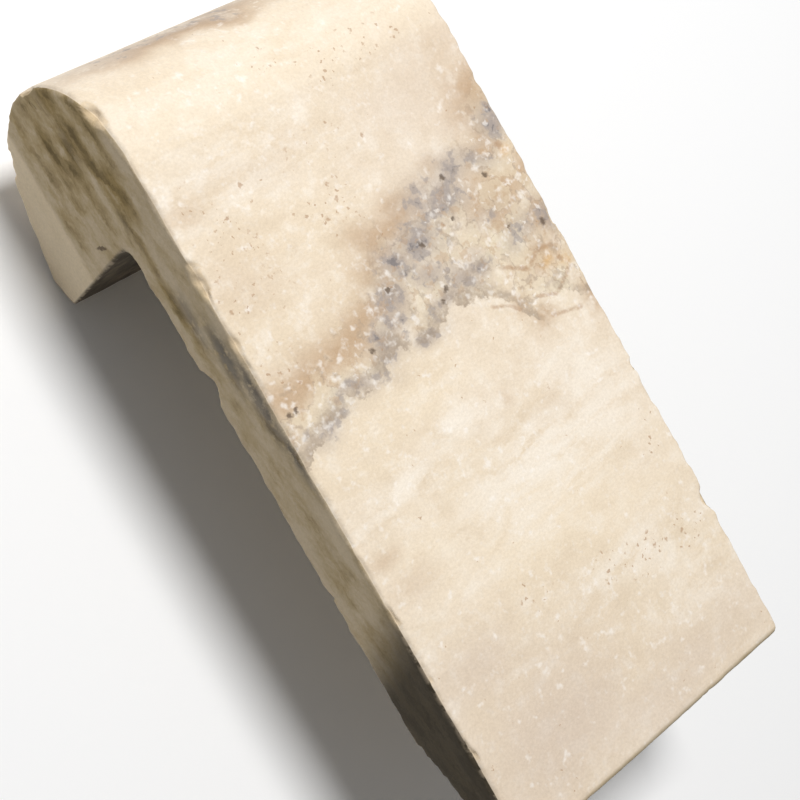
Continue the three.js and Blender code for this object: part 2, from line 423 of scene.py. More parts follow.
def nearest_on_loop(points, loop):
    """For each (y, z) point, how far the loop is and which point of the loop is nearest: the foot on each
    side of the loop is the start plus a clipped share of the side."""
    side = np.roll(loop, -1, axis=0) - loop
    offset = points[:, None, :] - loop[None, :, :]
    share = np.clip((offset * side).sum(2) / (side * side).sum(1), 0, 1)
    gap = np.linalg.norm(offset - share[..., None] * side, axis=2)
    best = gap.argmin(axis=1)
    rows = np.arange(len(points))
    nearer = np.round(share[rows, best]).astype(int)
    return gap[rows, best], (best + nearer) % len(loop)


def there_and_back(line):
    """An open line as a loop that runs to its end and back."""
    points = np.array(line, float)
    return np.vstack((points, points[-2:0:-1]))


def end_blocks(loop_ids, first_new):
    """The grids of vertex numbers that fill one joint face: the nose block and the slab block, columns from
    front to back and rows upwards. Their rims are loop vertices, their inner vertices are numbered from
    first_new, and they share the column above the back of the nose."""
    count = len(loop_ids)
    heel_end = count - NOSE_STEPS
    bed_end = heel_end - BACK_STEPS
    tail_start = NOSE_STEPS + SLAB_STEPS
    nose = np.full((NOSE_STEPS + 1, BACK_STEPS + TAIL_STEPS + 1), -1)
    slab = np.full((SLAB_STEPS + 1, TAIL_STEPS + 1), -1)
    nose[0] = loop_ids[0]
    nose[:, 0] = loop_ids[(count - np.arange(NOSE_STEPS + 1)) % count]
    nose[:, -1] = loop_ids[:NOSE_STEPS + 1]
    nose[-1, :BACK_STEPS + 1] = loop_ids[heel_end - np.arange(BACK_STEPS + 1)]
    slab[:, 0] = loop_ids[bed_end - np.arange(SLAB_STEPS + 1)]
    slab[:, -1] = loop_ids[NOSE_STEPS:tail_start + 1]
    slab[-1] = loop_ids[tail_start + TAIL_STEPS - np.arange(TAIL_STEPS + 1)]
    inner = slab[:-1] < 0
    slab[:-1][inner] = first_new + np.arange(inner.sum())
    nose[-1, BACK_STEPS:] = slab[0]
    hidden = nose < 0
    nose[hidden] = first_new + inner.sum() + np.arange(hidden.sum())
    return nose, slab


def column_points(low, high, fractions):
    """Points on straight columns between two rows of points, at fractions of the way up."""
    return low[:, None, :] + fractions[None, :, None] * (high - low)[:, None, :]


def block_quads(ids):
    """The four-cornered faces between neighbouring columns and rows of a grid of vertex numbers."""
    corners = (ids[:-1, :-1], ids[1:, :-1], ids[1:, 1:], ids[:-1, 1:])
    return np.stack(corners, axis=-1).reshape(-1, 4)


def square_stone():
    """The stone with sharp arrises. The skin is the side view carried across the width, and each joint face
    is filled by two blocks of columns, straight ones under the slab's top and ones that bend with the back
    of the nose in front of it. Returns the points, the faces with four and with three corners, for every
    point its distance to the rim of its joint face, its place round the side view and whether it lies on
    a joint face, and the side view."""
    runs = side_runs()
    loop = np.vstack([run[:-1] for run in runs])
    count = len(loop)
    across = -SIDE + 2 * SIDE * graded(WIDTH_STEPS)
    skin = np.empty((count, WIDTH_STEPS + 1, 3))
    skin[..., 0] = across
    skin[..., 1:] = loop[:, None, :]
    ids = np.arange(skin.shape[0] * skin.shape[1]).reshape(skin.shape[:2])
    closed = np.vstack((ids, ids[:1]))
    quads = [block_quads(closed)[:, ::-1]]
    fans = []
    points = [skin.reshape(-1, 3)]
    gaps = [np.zeros(ids.size)]
    rounds = [np.repeat(np.arange(count), WIDTH_STEPS + 1)]
    on_face = [np.zeros(ids.size, bool)]
    rise = np.concatenate((runs[4][:0:-1, 1], runs[2][::-1, 1])) - runs[4][-1, 1]
    slab_grid = column_points(runs[3][::-1], runs[1], runs[2][::-1, 1] / TOP)
    nose_grid = column_points(runs[5][::-1], runs[0], rise / rise[-1])
    bend = np.vstack((runs[4][::-1], slab_grid[0, 1:])) - nose_grid[-1]
    nose_grid = nose_grid + np.linspace(0, 1, NOSE_STEPS + 1)[:, None, None] * bend
    first_new = ids.size
    for column, sign in ((WIDTH_STEPS, 1), (0, -1)):
        nose, slab = end_blocks(ids[:, column], first_new)
        fresh = np.zeros((max(nose.max(), slab.max()) + 1 - first_new, 2))
        for grid, numbers in ((nose_grid, nose), (slab_grid, slab)):
            new = numbers >= first_new
            fresh[numbers[new] - first_new] = grid[new]
        gap, nearest = nearest_on_loop(fresh, loop)
        points.append(np.column_stack((np.full(len(fresh), sign * SIDE), fresh)))
        gaps.append(gap)
        rounds.append(nearest)
        on_face.append(np.ones(len(fresh), bool))
        turn = slice(None, None, sign)
        quads += [block_quads(nose[1:])[:, turn], block_quads(slab)[:, turn]]
        tip = np.stack((nose[0, :-1], nose[1, :-1], nose[1, 1:]), axis=-1)
        fans.append(tip[:, turn])
        first_new += len(fresh)
    return (
        np.vstack(points), np.vstack(quads), np.vstack(fans),
        np.concatenate(gaps), np.concatenate(rounds), np.concatenate(on_face), loop,
    )


def on_bed(place, loop):
    """Which places round the side view lie on the bed, the back of the nose or the tip of the heel."""
    return (place > NOSE_STEPS + SLAB_STEPS + TAIL_STEPS) & (place < len(loop) - NOSE_STEPS + TIP_STEPS)


def worn_arrises(points, gap, place, on_face, loop):
    """Rounds the arrises of both joint faces. A point within one radius of the arris slides on to a circle
    that touches both faces: its distance d becomes an angle of (1 - d/r) eighths of a turn, and the
    circle's sine and cosine give its new distances from the two faces. The radius r wanders along the arris
    and is smaller round the bed. Returns the points and, for each, its share of the wear."""
    normal = outward_normals(loop)[place]
    side = np.sign(points[:, 0])
    rim = np.column_stack((side * SIDE, loop[place]))
    wander = 0.5 + 0.5 * rough(rim, WEAR_SPAN, SEED)
    radius = WEAR_LEAST + (WEAR_MOST - WEAR_LEAST) * smooth_step(wander, *WEAR_RISE)
    radius *= np.where(on_bed(place, loop), WEAR_OF_BED, 1.0)
    inset = SIDE - np.abs(points[:, 0])
    distance = np.where(on_face, gap, inset)
    angle = np.clip(1 - distance / radius, 0, 1) * math.pi / 4
    slid = np.where(angle > 0, radius * (1 - np.sin(angle)), distance)
    sunk = radius * (1 - np.cos(angle))
    across = np.where(on_face, sunk, slid)
    inward = np.where(on_face, slid - distance, sunk)
    worn = points.copy()
    worn[:, 0] = side * (SIDE - across)
    worn[:, 1:] -= inward[:, None] * normal
    return worn, np.sin(2 * angle)


def skewed_tail(points):
    """Shears the slab so that its tail is out of square: y loses x times the tangent of the skew, in full
    at the tail and not at all before the middle of the bed."""
    share = np.clip(points[:, 1] / TAIL_Y, 0, 1)
    points[:, 1] -= share * points[:, 0] * math.tan(TAIL_SKEW)
    return points


def on_arris(name, at):
    """A point on a named arris, the direction out of the corner there and the direction along the arris."""
    side = 1 if name.startswith("near") else -1
    turn = math.radians(at)
    length = at * MM
    tail_y = TAIL_Y - length * math.tan(TAIL_SKEW)
    nose = (side * SIDE, NOSE_Y + NOSE_RADIUS * math.cos(turn), NOSE_Z + NOSE_RADIUS * math.sin(turn))
    places = {
        "Top": ((side * SIDE, length, TOP), (side, 0, 1), (0, 1, 0)),
        "Bed": ((side * SIDE, length, 0), (side, 0, -1), (0, 1, 0)),
        "Nose": (nose, (side, math.cos(turn), math.sin(turn)), (0, -math.sin(turn), math.cos(turn))),
        "tailTop": ((length, tail_y, TOP), (0, 1, 1), (1, 0, 0)),
        "tailBed": ((length, tail_y, 0), (0, 1, -1), (1, 0, 0)),
        "heel": ((length, *between(HEEL, BACK, 0)), (0, 2, -1), (1, 0, 0)),
    }
    point, out, run = (np.array(v, float) for v in places[name.replace("near", "").replace("far", "")])
    return point, out / np.linalg.norm(out), run


def chipped(points):
    """Takes the chips out. Each is an uneven ball stretched along its arris: a point inside it is pushed
    into the stone, against the corner's outward direction, until it lies on the ball's inner half. Returns
    the points and, for each, how far it was pushed."""
    start = points.copy()
    bumps = rough(points, CHIP_GRAIN, SEED + 11, 3)
    for name, at, length, bite in CHIPS:
        centre, out, run = on_arris(name, at)
        radius = CHIP_FATNESS * bite * MM
        stand_off = radius - bite * MM
        reach = length / 2 * MM / math.sqrt(1 - (stand_off / radius) ** 2)
        cross = np.cross(out, run)
        uneven = 1 + min(CHIP_ROUGHNESS, CHIP_UNEVENNESS / radius) * bumps
        offset = points - (centre + stand_off * out)
        u = offset @ run / reach
        v = offset @ cross / (radius * CHIP_SPREAD)
        w = offset @ out / radius
        room = uneven ** 2 - u ** 2 - v ** 2
        inside = room > 0
        floor = -np.sqrt(np.where(inside, room, 0))
        push = np.where(inside & (w > floor), w - floor, 0) * radius
        points = points - push[:, None] * out
    return points, np.linalg.norm(points - start, axis=1)


def vertex_normals(points, quads, fans):
    """Unit normals at the points: the crossed diagonals of the faces round each, added up."""
    total = np.zeros_like(points)
    for faces, first, second in ((quads, (0, 2), (1, 3)), (fans, (0, 1), (0, 2))):
        one = points[faces[:, first[1]]] - points[faces[:, first[0]]]
        two = points[faces[:, second[1]]] - points[faces[:, second[0]]]
        normal = np.cross(one, two)
        for axis in range(3):
            for corner in range(faces.shape[1]):
                total[:, axis] += np.bincount(faces[:, corner], normal[:, axis], len(points))
    return total / np.maximum(np.linalg.norm(total, axis=1, keepdims=True), TINY)


def patches(u, v, rows):
    """How strongly each point lies in soft patches: the strongest of the bells exp(-(a^2 + b^2)), where a
    and b are the distances from the patch's centre in half widths and half lengths."""
    strength = np.zeros(len(u))
    for place_u, place_v, half_u, half_v, most in rows:
        bell = most * np.exp(-((u - place_u) / half_u) ** 2 - ((v - place_v) / half_v) ** 2)
        strength = np.maximum(strength, bell)
    return strength


def stone_marks(points, on_face, dressed, shade_and_soil, wear, push):
    """The values that the travertine reads at each point: how far inside the vein band it lies from either
    side, how far it is from a seam, the soft patches, the dressed faces, the painted shade and mortar soiling
    under the slab, the painted shadow on the near joint face, the worn arrises and the chips. Places are
    warped by noise first, so that no patch is round. On the joint faces the band sinks towards the nose by a
    square law of the depth."""
    x, y, z = (points / MM).T
    warp_x = PATCH_WARP * rough(points, PATCH_WARP_SPAN, SEED + 21, 3)
    warp_y = PATCH_WARP * rough(points, PATCH_WARP_SPAN, SEED + 31, 3)
    depth = TOP / MM - z
    fall = np.where(on_face, depth, 0)
    bed_y = y + BAND_DIP * fall + BAND_DIP_GROWTH * fall ** 2
    veined = on_face | (dressed > 0)
    tail_side = np.interp(x, *np.transpose(BAND_TAIL_SIDE))
    nose_side = np.interp(x, *np.transpose(BAND_NOSE_SIDE))
    near = np.where(x > 0, 1.0, FAR_SIDE_STRENGTH)
    side_y = np.where(x > 0, y, y + FAR_SIDE_SHIFT) + warp_y
    side_z = z + warp_x * BED_WANDER
    seam_place = np.column_stack((x + warp_x * SEAM_WANDER, y + warp_y * SEAM_WANDER))
    seam = np.min([nearest_on_loop(seam_place, there_and_back(line))[0] for line in SEAMS], axis=0)
    past_nose = NOSE_Y / MM - y + warp_x * NOSE_WANDER
    below_skirt = SKIRT_TOP - z + warp_x * SKIRT_WANDER
    marks = {
        "band_in": np.where(veined, tail_side - bed_y, -FAR_AWAY),
        "band_out": np.where(veined, bed_y - nose_side, -FAR_AWAY),
        "seam": np.where(dressed > 0, seam, FAR_AWAY),
        # painted light: the nose is lighter than the top from where it starts to curve, as if turned more to
        # the lamp
        "nose": dressed * smooth_step(past_nose, -NOSE_BLUR, NOSE_BLUR),
        "skirt": on_face * near * smooth_step(below_skirt, -SKIRT_BLUR, SKIRT_BLUR),
        # painted shadow: the near joint face darkens towards the tail
        "painted_shadow": on_face * (x > 0) * smooth_step(side_y - PAINTED_SHADOW_SLANT * depth, *PAINTED_SHADOW_RISE),
        "chip": smooth_step(push, *CHIP_RISE),
        "dressed": dressed,
        "worn": wear,
        "shade_and_soil": shade_and_soil,
    }
    for name, rows in TOP_PATCHES.items():
        marks[name] = dressed * patches(x + warp_x, y + warp_y, rows)
    for name, rows in SIDE_PATCHES.items():
        marks[name] = on_face * near * patches(side_y, side_z, rows)
    halo = np.exp(-((marks["band_out"] + warp_y - HALO_DEPTH) / HALO_WIDTH) ** 2)
    halo *= smooth_step(x + warp_x, *HALO_ENDS) * smooth_step(marks["band_in"], 0, HALO_WIDTH)
    marks["tan"] = np.maximum(marks["tan"], dressed * HALO_STRENGTH * halo)
    return marks


def coping_stone():
    """The whole stone: the square block, its arrises worn and chipped and its tail skewed, then moved along
    its normals by slow waves and by the grain of the sawn, worn and broken stone."""
    points, quads, fans, gap, place, on_face, loop = square_stone()
    points, wear = worn_arrises(points, gap, place, on_face, loop)
    points = skewed_tail(points)
    points, push = chipped(points)
    normal = vertex_normals(points, quads, fans)
    top_end = NOSE_STEPS + SLAB_STEPS
    skirt_start = len(loop) - NOSE_STEPS + HEEL_STEPS
    on_show = (place <= top_end) | (place >= skirt_start)
    dressed = np.where(on_show & ~on_face, 1.0, 0.0)
    behind_nose = place > len(loop) - NOSE_STEPS - BACK_STEPS
    # painted shade and mortar soiling under the slab: full on the back of the nose, weaker on the bed
    shade_and_soil = on_bed(place, loop) * np.where(behind_nose, 1.0, SHADE_AND_SOIL_ON_BED) * np.where(on_face, wear, 1.0)
    grain = GRAIN_DRESSED + GRAIN_SAWN * (1 - dressed)
    broken = GRAIN_BROKEN * (push > 0) + GRAIN_WORN * wear
    relief = (WAVE * rough(points, WAVE_SPAN, SEED + 3, 2)
              + grain * rough(points, GRAIN_SPAN, SEED + 5, 3)
              + broken * rough(points, BROKEN_SPAN, SEED + 8, 2))
    moved = points + relief[:, None] * normal
    mesh = bpy.data.meshes.new("coping_stone_skin")
    mesh.from_pydata(moved.tolist(), [], quads.tolist() + fans.tolist())
    for name, values in stone_marks(points, on_face, dressed, shade_and_soil, wear, push).items():
        kept = mesh.attributes.new(name, "FLOAT", "POINT")
        kept.data.foreach_set("value", values.astype(np.float32))
    mesh.polygons.foreach_set("use_smooth", np.ones(len(mesh.polygons), bool))
    mesh.update()
    piece = bpy.data.objects.new("travertine_coping", mesh)
    bpy.context.scene.collection.objects.link(piece)
    return piece


def add(tree, kind, inputs=None, **settings):
    """A node of a kind, with its settings and its inputs set to plain values or linked to sockets."""
    made = tree.nodes.new(kind)
    for name, value in settings.items():
        setattr(made, name, value)
    for name, value in (inputs or {}).items():
        plug(tree, made.inputs[name], value)
    return made


def plug(tree, socket, value):
    """Links a socket to another, or sets its plain value."""
    if isinstance(value, bpy.types.NodeSocket):
        tree.links.new(value, socket)
    elif isinstance(value, (tuple, list)) and len(value) == 3 and socket.type == "RGBA":
        socket.default_value = (*value, 1.0)
    else:
        socket.default_value = value


def maths(tree, operation, first, second=0.0):
    """One sum of two values."""
    return add(tree, "ShaderNodeMath", {0: first, 1: second}, operation=operation).outputs[0]


def step(tree, value, low, high):
    """0 below low, 1 above high and a smooth rise between."""
    inputs = {"Value": value, "From Min": low, "From Max": high}
    return add(tree, "ShaderNodeMapRange", inputs, interpolation_type="SMOOTHSTEP").outputs[0]


def tint(tree, share, base, colour):
    """A share of a colour laid over a base colour."""
    return add(tree, "ShaderNodeMix", {0: share, 6: base, 7: colour}, data_type="RGBA").outputs[2]


def noise(tree, place, scale, detail, roughness, distortion=0.0):
    """Noise from 0 to 1 at places in mm, with about one wave in 1/scale mm."""
    inputs = {"Vector": place, "Scale": scale, "Detail": detail, "Roughness": roughness}
    return add(tree, "ShaderNodeTexNoise", {**inputs, "Distortion": distortion}).outputs[0]


def mark(tree, name):
    """One of the values kept on the stone's points."""
    return add(tree, "ShaderNodeAttribute", attribute_name=name).outputs["Fac"]


def over(tree, base, mask, most, colour):
    """A colour laid over a base where a mask says so, at most by a given share."""
    return tint(tree, maths(tree, "MULTIPLY", mask, most), base, colour)


def both(tree, first, second):
    """The product of two masks."""
    return maths(tree, "MULTIPLY", first, second)


def blend(tree, value, factor, plus):
    """A value times a factor plus a constant or another value."""
    node = add(tree, "ShaderNodeMath", {0: value, 1: factor, 2: plus}, operation="MULTIPLY_ADD")
    return node.outputs[0]


def dots(tree, place, cell, radius, share):
    """Round dots scattered one to a cell: a share of the cells holds a dot, and its radius varies from cell
    to cell. Returns the mask."""
    cells = add(tree, "ShaderNodeTexVoronoi", {"Vector": place, "Scale": 1 / cell, "Randomness": 1.0})
    chance = add(tree, "ShaderNodeSeparateColor", {"Color": cells.outputs["Color"]})
    most = radius / cell
    size = blend(tree, chance.outputs[1], (1 - DOT_LEAST) * most, DOT_LEAST * most)
    inside = step(tree, maths(tree, "SUBTRACT", size, cells.outputs["Distance"]), 0.0, DOT_RIM * most)
    return both(tree, inside, maths(tree, "LESS_THAN", chance.outputs[0], share))


def crown(y):
    """The height of the top at a place along it, in mm: level behind the nose and on the nose's circle over
    it."""
    past = min(0.0, y - NOSE_Y / MM)
    return NOSE_Z / MM + math.sqrt((NOSE_RADIUS / MM) ** 2 - past ** 2)


def spots(tree, place, rows):
    """The spots of a list as one mask: each is 1 within its radius of its centre, with a soft rim."""
    total = None
    for x, y, radius in rows:
        ends = {0: place, 1: (x, y, crown(y))}
        away = add(tree, "ShaderNodeVectorMath", ends, operation="DISTANCE").outputs["Value"]
        spot = step(tree, away, *(share * radius for share in SPOT_RIM))
        total = spot if total is None else maths(tree, "MAXIMUM", total, spot)
    return total


def turned(tree, place, size, tilt=0.0, middle=(0, 0, 0)):
    """Places measured from a middle, turned by a tilt in degrees about the x axis and divided by a size
    along each axis."""
    inputs = {"Vector": place, "Location": middle, "Rotation": (math.radians(tilt), 0, 0), "Scale": size}
    return add(tree, "ShaderNodeMapping", inputs, vector_type="TEXTURE").outputs[0]


def washes(tree, base, values, rows):
    """Washes of colour laid over a base one after the other. A row names the mask that bounds the wash and
    the noise that breaks it up, where it has them, the values of that noise between which it comes in, its
    greatest share and its colour."""
    for bound, broken_by, ends, share, colour in rows:
        mask = values[bound] if bound else None
        if broken_by:
            broken = step(tree, values[broken_by], *ends)
            mask = both(tree, mask, broken) if bound else broken
        base = over(tree, base, mask, share, colour)
    return base


# Colours of the stone
CREAM = (0.80, 0.685, 0.545)
CREAM_WARM = (0.78, 0.655, 0.495)
CREAM_PALE = (0.88, 0.80, 0.69)
CREAM_OLIVE = (0.76, 0.66, 0.49)
CREAM_YELLOW = (0.84, 0.715, 0.545)
# painted light on the nose
NOSE_PAINTED_LIGHT = (0.85, 0.735, 0.575)
BEIGE = (0.68, 0.555, 0.405)
TAN = (0.49, 0.325, 0.19)
RUST = (0.40, 0.23, 0.12)
RUST_ORANGE = (0.66, 0.42, 0.19)
GREY_WASH = (0.40, 0.335, 0.293)
STONE_GREY = (0.35, 0.305, 0.282)
SLATE_GREY = (0.17, 0.155, 0.16)
EDGE_BROWN = (0.38, 0.30, 0.225)
ROSY_GREY = (0.645, 0.53, 0.43)
WHITE_FLECK = (0.93, 0.88, 0.82)
# painted shade inside the holes, which are not cut
HOLE_SHADE = (0.11, 0.072, 0.045)
# the sawn faces' own beige and olive, made darker than the cream partly as painted shade
SAWN_BEIGE_AND_SHADE = (0.55, 0.45, 0.31)
OLIVE_AND_SHADE = (0.355, 0.255, 0.105)
OLIVE_DARK = (0.122, 0.082, 0.027)
DULL_GREY = (0.16, 0.14, 0.112)
# painted shadow on the near joint face towards the tail
PAINTED_SHADOW_BROWN = (0.056, 0.043, 0.025)
# painted shade and mortar soiling on the faces under the slab
SHADE_AND_SOIL_GREY = (0.055, 0.045, 0.033)
SKIRT_BEIGE = (0.74, 0.62, 0.445)
CHIP_TAN = (0.82, 0.64, 0.42)

# Noises at places in mm: waves in a mm, detail, roughness and, where it has it, distortion
NOISES = {
    "cloud": (0.018, 2, 0.55),
    "mottle": (0.10, 3, 0.6),
    "clot": (0.22, 3, 0.65),
    "grain": (0.9, 2, 0.7),
}
FLOW_NOISE = (0.055, 2, 0.5, 1.2)
SPECK_NOISE = (0.27, 2, 0.5)
NOISE_MIDDLE = 0.5

# How far fine noise bends the places, in mm, with how many waves in a mm
SWAY = 3.2
SWAY_SCALE = 0.55
SWAY_DETAIL = 2.0

# Sizes of the wisps in the cream and of the beds in the sawn faces along the axes, in mm, the beds' tilt, and
# the noise of both, with waves in a size
WISP_SIZE = (26, 9, 26)
WISP_NOISE = (1.0, 4, 0.62, 0.6)
BED_SIZE = (20, 17, 6)
BED_NOISE = (1.0, 4, 0.66, 0.2)
BED_TILT = 11

# The sawn faces: how far streak patches lift the beds, how much olive shows in them and outside them, and
# the values between which the painted shadow and the painted shade and soiling under the slab rise from
# their least to all
STREAK_LIFT = 0.34
OLIVE_IN_STREAK = 0.7
OLIVE_OUTSIDE = 0.45
SHADOW_BREAK_RISE = (0.62, 0.40)
SHADOW_BREAK_LEAST = 0.94
SHADE_AND_SOIL_RISE = (0.30, 0.60)
SHADE_AND_SOIL_LEAST = 0.80

# The band: how far its edges shake and how softly they come in, its crumbs and seams, in mm
BAND_SHAKE = 14.0
BAND_TAIL_RIM = (-0.8, 1.2)
BAND_NOSE_RIM = (-6.0, 16.0)
BAND_ON_SAWN = 0.25
CRUMB = 4.4
CRUMB_DETAIL = 1.5
CRUMB_ROUGHNESS = 0.6
SEAM_BREAKS = 2.4
SEAM_RIM = (2.6, 1.3)
RIDGE_RIM = (0.035, 0.004)
RIDGE_BREAKS = (0.36, 0.56)
GREY_RISE = (0.08, 0.40)
GREY_LIFT = 0.26

# The dark line along the band's tail edge, in mm: how it starts, fades inwards and ends where the band is
# narrow, and the values of the noise that breaks it up
EDGE_START = (-0.9, 0.5)
EDGE_FADE = (8.0, 0.5)
EDGE_ROOM = (-2.0, 6.0)
EDGE_BREAKS = (0.36, 0.56)

# Dots: least radius and rim as shares of the radius, then cell and radius in mm and share of the cells
DOT_LEAST = 0.4
DOT_RIM = 0.3
PIN_DOTS = (4.2, 0.75, 0.30)
PIT_DOTS = (2.4, 0.95, 0.55)

# Where flecks, pinholes and pits come in: what lifts the noise there, and the values between which they rise
CLOUD_LIFT = 0.20
PALE_LIFT = 0.03
BAND_LIFT = 0.04
FLECK_RISE = (0.70, 0.93)
PIN_RISE = (0.45, 0.58)
PIT_MOTTLE = 0.7
PIT_RISE = (0.60, 0.80)

# The surface: how glossy it is, how the grain shades it, how rough it is, and its fine bumps
IOR = 1.5
SPECULAR = 0.3
GRAIN_SHADE = 0.28
SHADE_LEAST = 0.86
ROUGHNESS = 0.52
ROUGHER_SAWN = 0.25
ROUGHER_MOTTLE = 0.16
BUMP_GRAIN = 0.30
BUMP_SAWN = 0.7
BUMP_STRENGTH = 0.6
BUMP_HEIGHT = 0.6 * MM

# Washes of colour: bounding mask, noise that breaks them up and the values between which they come in, share
CREAM_WASHES = (
    (None, "cloud", (0.38, 0.62), 1.0, CREAM_WARM),
    (None, "mottle", (0.50, 0.72), 0.40, BEIGE),
    (None, "mottle", (0.48, 0.30), 0.55, CREAM_PALE),
    (None, "clot", (0.52, 0.70), 0.22, BEIGE),
    (None, "clot", (0.46, 0.30), 0.40, CREAM_PALE),
    ("yellow", None, None, 0.65, CREAM_YELLOW),
    (None, "wisp", (0.52, 0.72), 0.45, CREAM_PALE),
    (None, "wisp", (0.46, 0.30), 0.30, BEIGE),
    ("pale", "wisp", (0.34, 0.58), 0.85, CREAM_PALE),
    ("rosy", None, None, 0.75, ROSY_GREY),
    # painted light: the nose lighter than the top
    ("nose", None, None, 0.30, NOSE_PAINTED_LIGHT),
)
SAWN_WASHES = (
    ("clear", "streaked", (0.42, 0.70), 1.0, OLIVE_AND_SHADE),
    (None, "mottle", (0.45, 0.70), 0.25, OLIVE_AND_SHADE),
    (None, "streaked", (0.62, 0.92), 0.88, OLIVE_DARK),
    ("dull", "clot", (0.30, 0.55), 0.85, DULL_GREY),
    ("skirt", None, None, 0.75, SKIRT_BEIGE),
    # painted shadow towards the tail of the near joint face
    ("painted_tail_shadow", None, None, 1.0, PAINTED_SHADOW_BROWN),
    # painted shade and mortar soiling under the slab, darkest on the back of the nose
    ("shaded_and_soiled", None, None, 0.92, SHADE_AND_SOIL_GREY),
)
BAND_WASHES = (
    ("band", "mottle", (0.25, 0.60), 0.45, BEIGE),
    ("tan", "mottle", (0.15, 0.50), 0.85, TAN),
    ("band", "flow", (0.50, 0.54), 0.35, CREAM_OLIVE),
    ("cream", "clot", (0.42, 0.56), 0.85, CREAM_OLIVE),
    ("grey", "mottle", (0.10, 0.46), 0.90, GREY_WASH),
    ("in_grey", "greyed", (0.64, 0.76), 0.66, STONE_GREY),
    ("in_grey", "greyed", (0.80, 0.90), 0.70, SLATE_GREY),
    ("crumbled", "tan_crumb", (0.57, 0.66), 0.40, TAN),
    ("crumbled", "white_crumb", (0.645, 0.75), 0.52, WHITE_FLECK),
    ("seamed", None, None, 0.50, EDGE_BROWN),
    ("drawn", None, None, 0.55, RUST),
    ("edge_dressed", None, None, 0.70, EDGE_BROWN),
    ("edge_sawn", None, None, 0.70, OLIVE_DARK),
    ("rust", "clot", (0.32, 0.52), 0.85, RUST_ORANGE),
)
LAST_WASHES = (
    ("flecks", None, None, 0.62, WHITE_FLECK),
    ("pinned", None, None, 0.62, RUST),
    ("worn", "clot", (0.45, 0.60), 0.40, BEIGE),
    ("fresh", "clot", (0.24, 0.50), 0.62, CHIP_TAN),
    # holes: painted shade in place of their hollows
    ("holes", None, None, 0.82, HOLE_SHADE),
)
MARKS = (
    "band_in", "band_out", "seam", "nose", "skirt", "painted_shadow", "chip", "dressed", "worn", "shade_and_soil",
    *TOP_PATCHES, *SIDE_PATCHES,
)


def stone_values(tree):
    """The values that the travertine is mixed from, by name: the marks kept on the stone's points, noises
    of several sizes, and places in mm, plain and bent by fine noise."""
    metres = add(tree, "ShaderNodeTexCoord").outputs["Object"]
    place = add(tree, "ShaderNodeVectorMath", {0: metres, 3: 1 / MM}, operation="SCALE").outputs[0]
    sway = {"Vector": place, "Scale": SWAY_SCALE, "Detail": SWAY_DETAIL}
    sway = add(tree, "ShaderNodeTexNoise", sway).outputs["Color"]
    sway = add(tree, "ShaderNodeVectorMath", {0: sway, 3: SWAY}, operation="SCALE").outputs[0]
    bent = add(tree, "ShaderNodeVectorMath", {0: place, 1: sway}, operation="ADD").outputs[0]
    half = (SWAY / 2, SWAY / 2, SWAY / 2)
    bent = add(tree, "ShaderNodeVectorMath", {0: bent, 1: half}, operation="SUBTRACT").outputs[0]
    values = {name: mark(tree, name) for name in MARKS}
    for name, settings in NOISES.items():
        values[name] = noise(tree, place, *settings)
    values["sawn"] = maths(tree, "SUBTRACT", 1.0, values["dressed"])
    values["place"] = place
    values["bent"] = bent
    return values


def clouded_cream(tree, values):
    """The colour of the top and the nose: cream in clouds and wisps."""
    values["wisp"] = noise(tree, turned(tree, values["bent"], WISP_SIZE), *WISP_NOISE)
    return washes(tree, CREAM, values, CREAM_WASHES)


def sawn_beds(tree, values):
    """The colour of the sawn faces: the beds of the stone show as streaks, and the faces are darker than
    the cream partly through painted shade.
    """
    beds = noise(tree, turned(tree, values["bent"], BED_SIZE, BED_TILT), *BED_NOISE)
    values["streaked"] = blend(tree, values["streak"], STREAK_LIFT, beds)
    values["clear"] = blend(tree, values["streak"], OLIVE_IN_STREAK, OLIVE_OUTSIDE)
    # the painted shadow on the near joint face, broken up by the beds
    shadow_breakup = blend(tree, step(tree, beds, *SHADOW_BREAK_RISE), 1 - SHADOW_BREAK_LEAST, SHADOW_BREAK_LEAST)
    values["painted_tail_shadow"] = both(tree, values["painted_shadow"], shadow_breakup)
    # painted shade and mortar soiling under the slab, broken up by the mottle
    shading_and_soiling = step(tree, values["mottle"], *SHADE_AND_SOIL_RISE)
    shading_and_soiling = blend(tree, shading_and_soiling, 1 - SHADE_AND_SOIL_LEAST, SHADE_AND_SOIL_LEAST)
    values["shaded_and_soiled"] = both(tree, values["shade_and_soil"], shading_and_soiling)
    return washes(tree, SAWN_BEIGE_AND_SHADE, values, SAWN_WASHES)


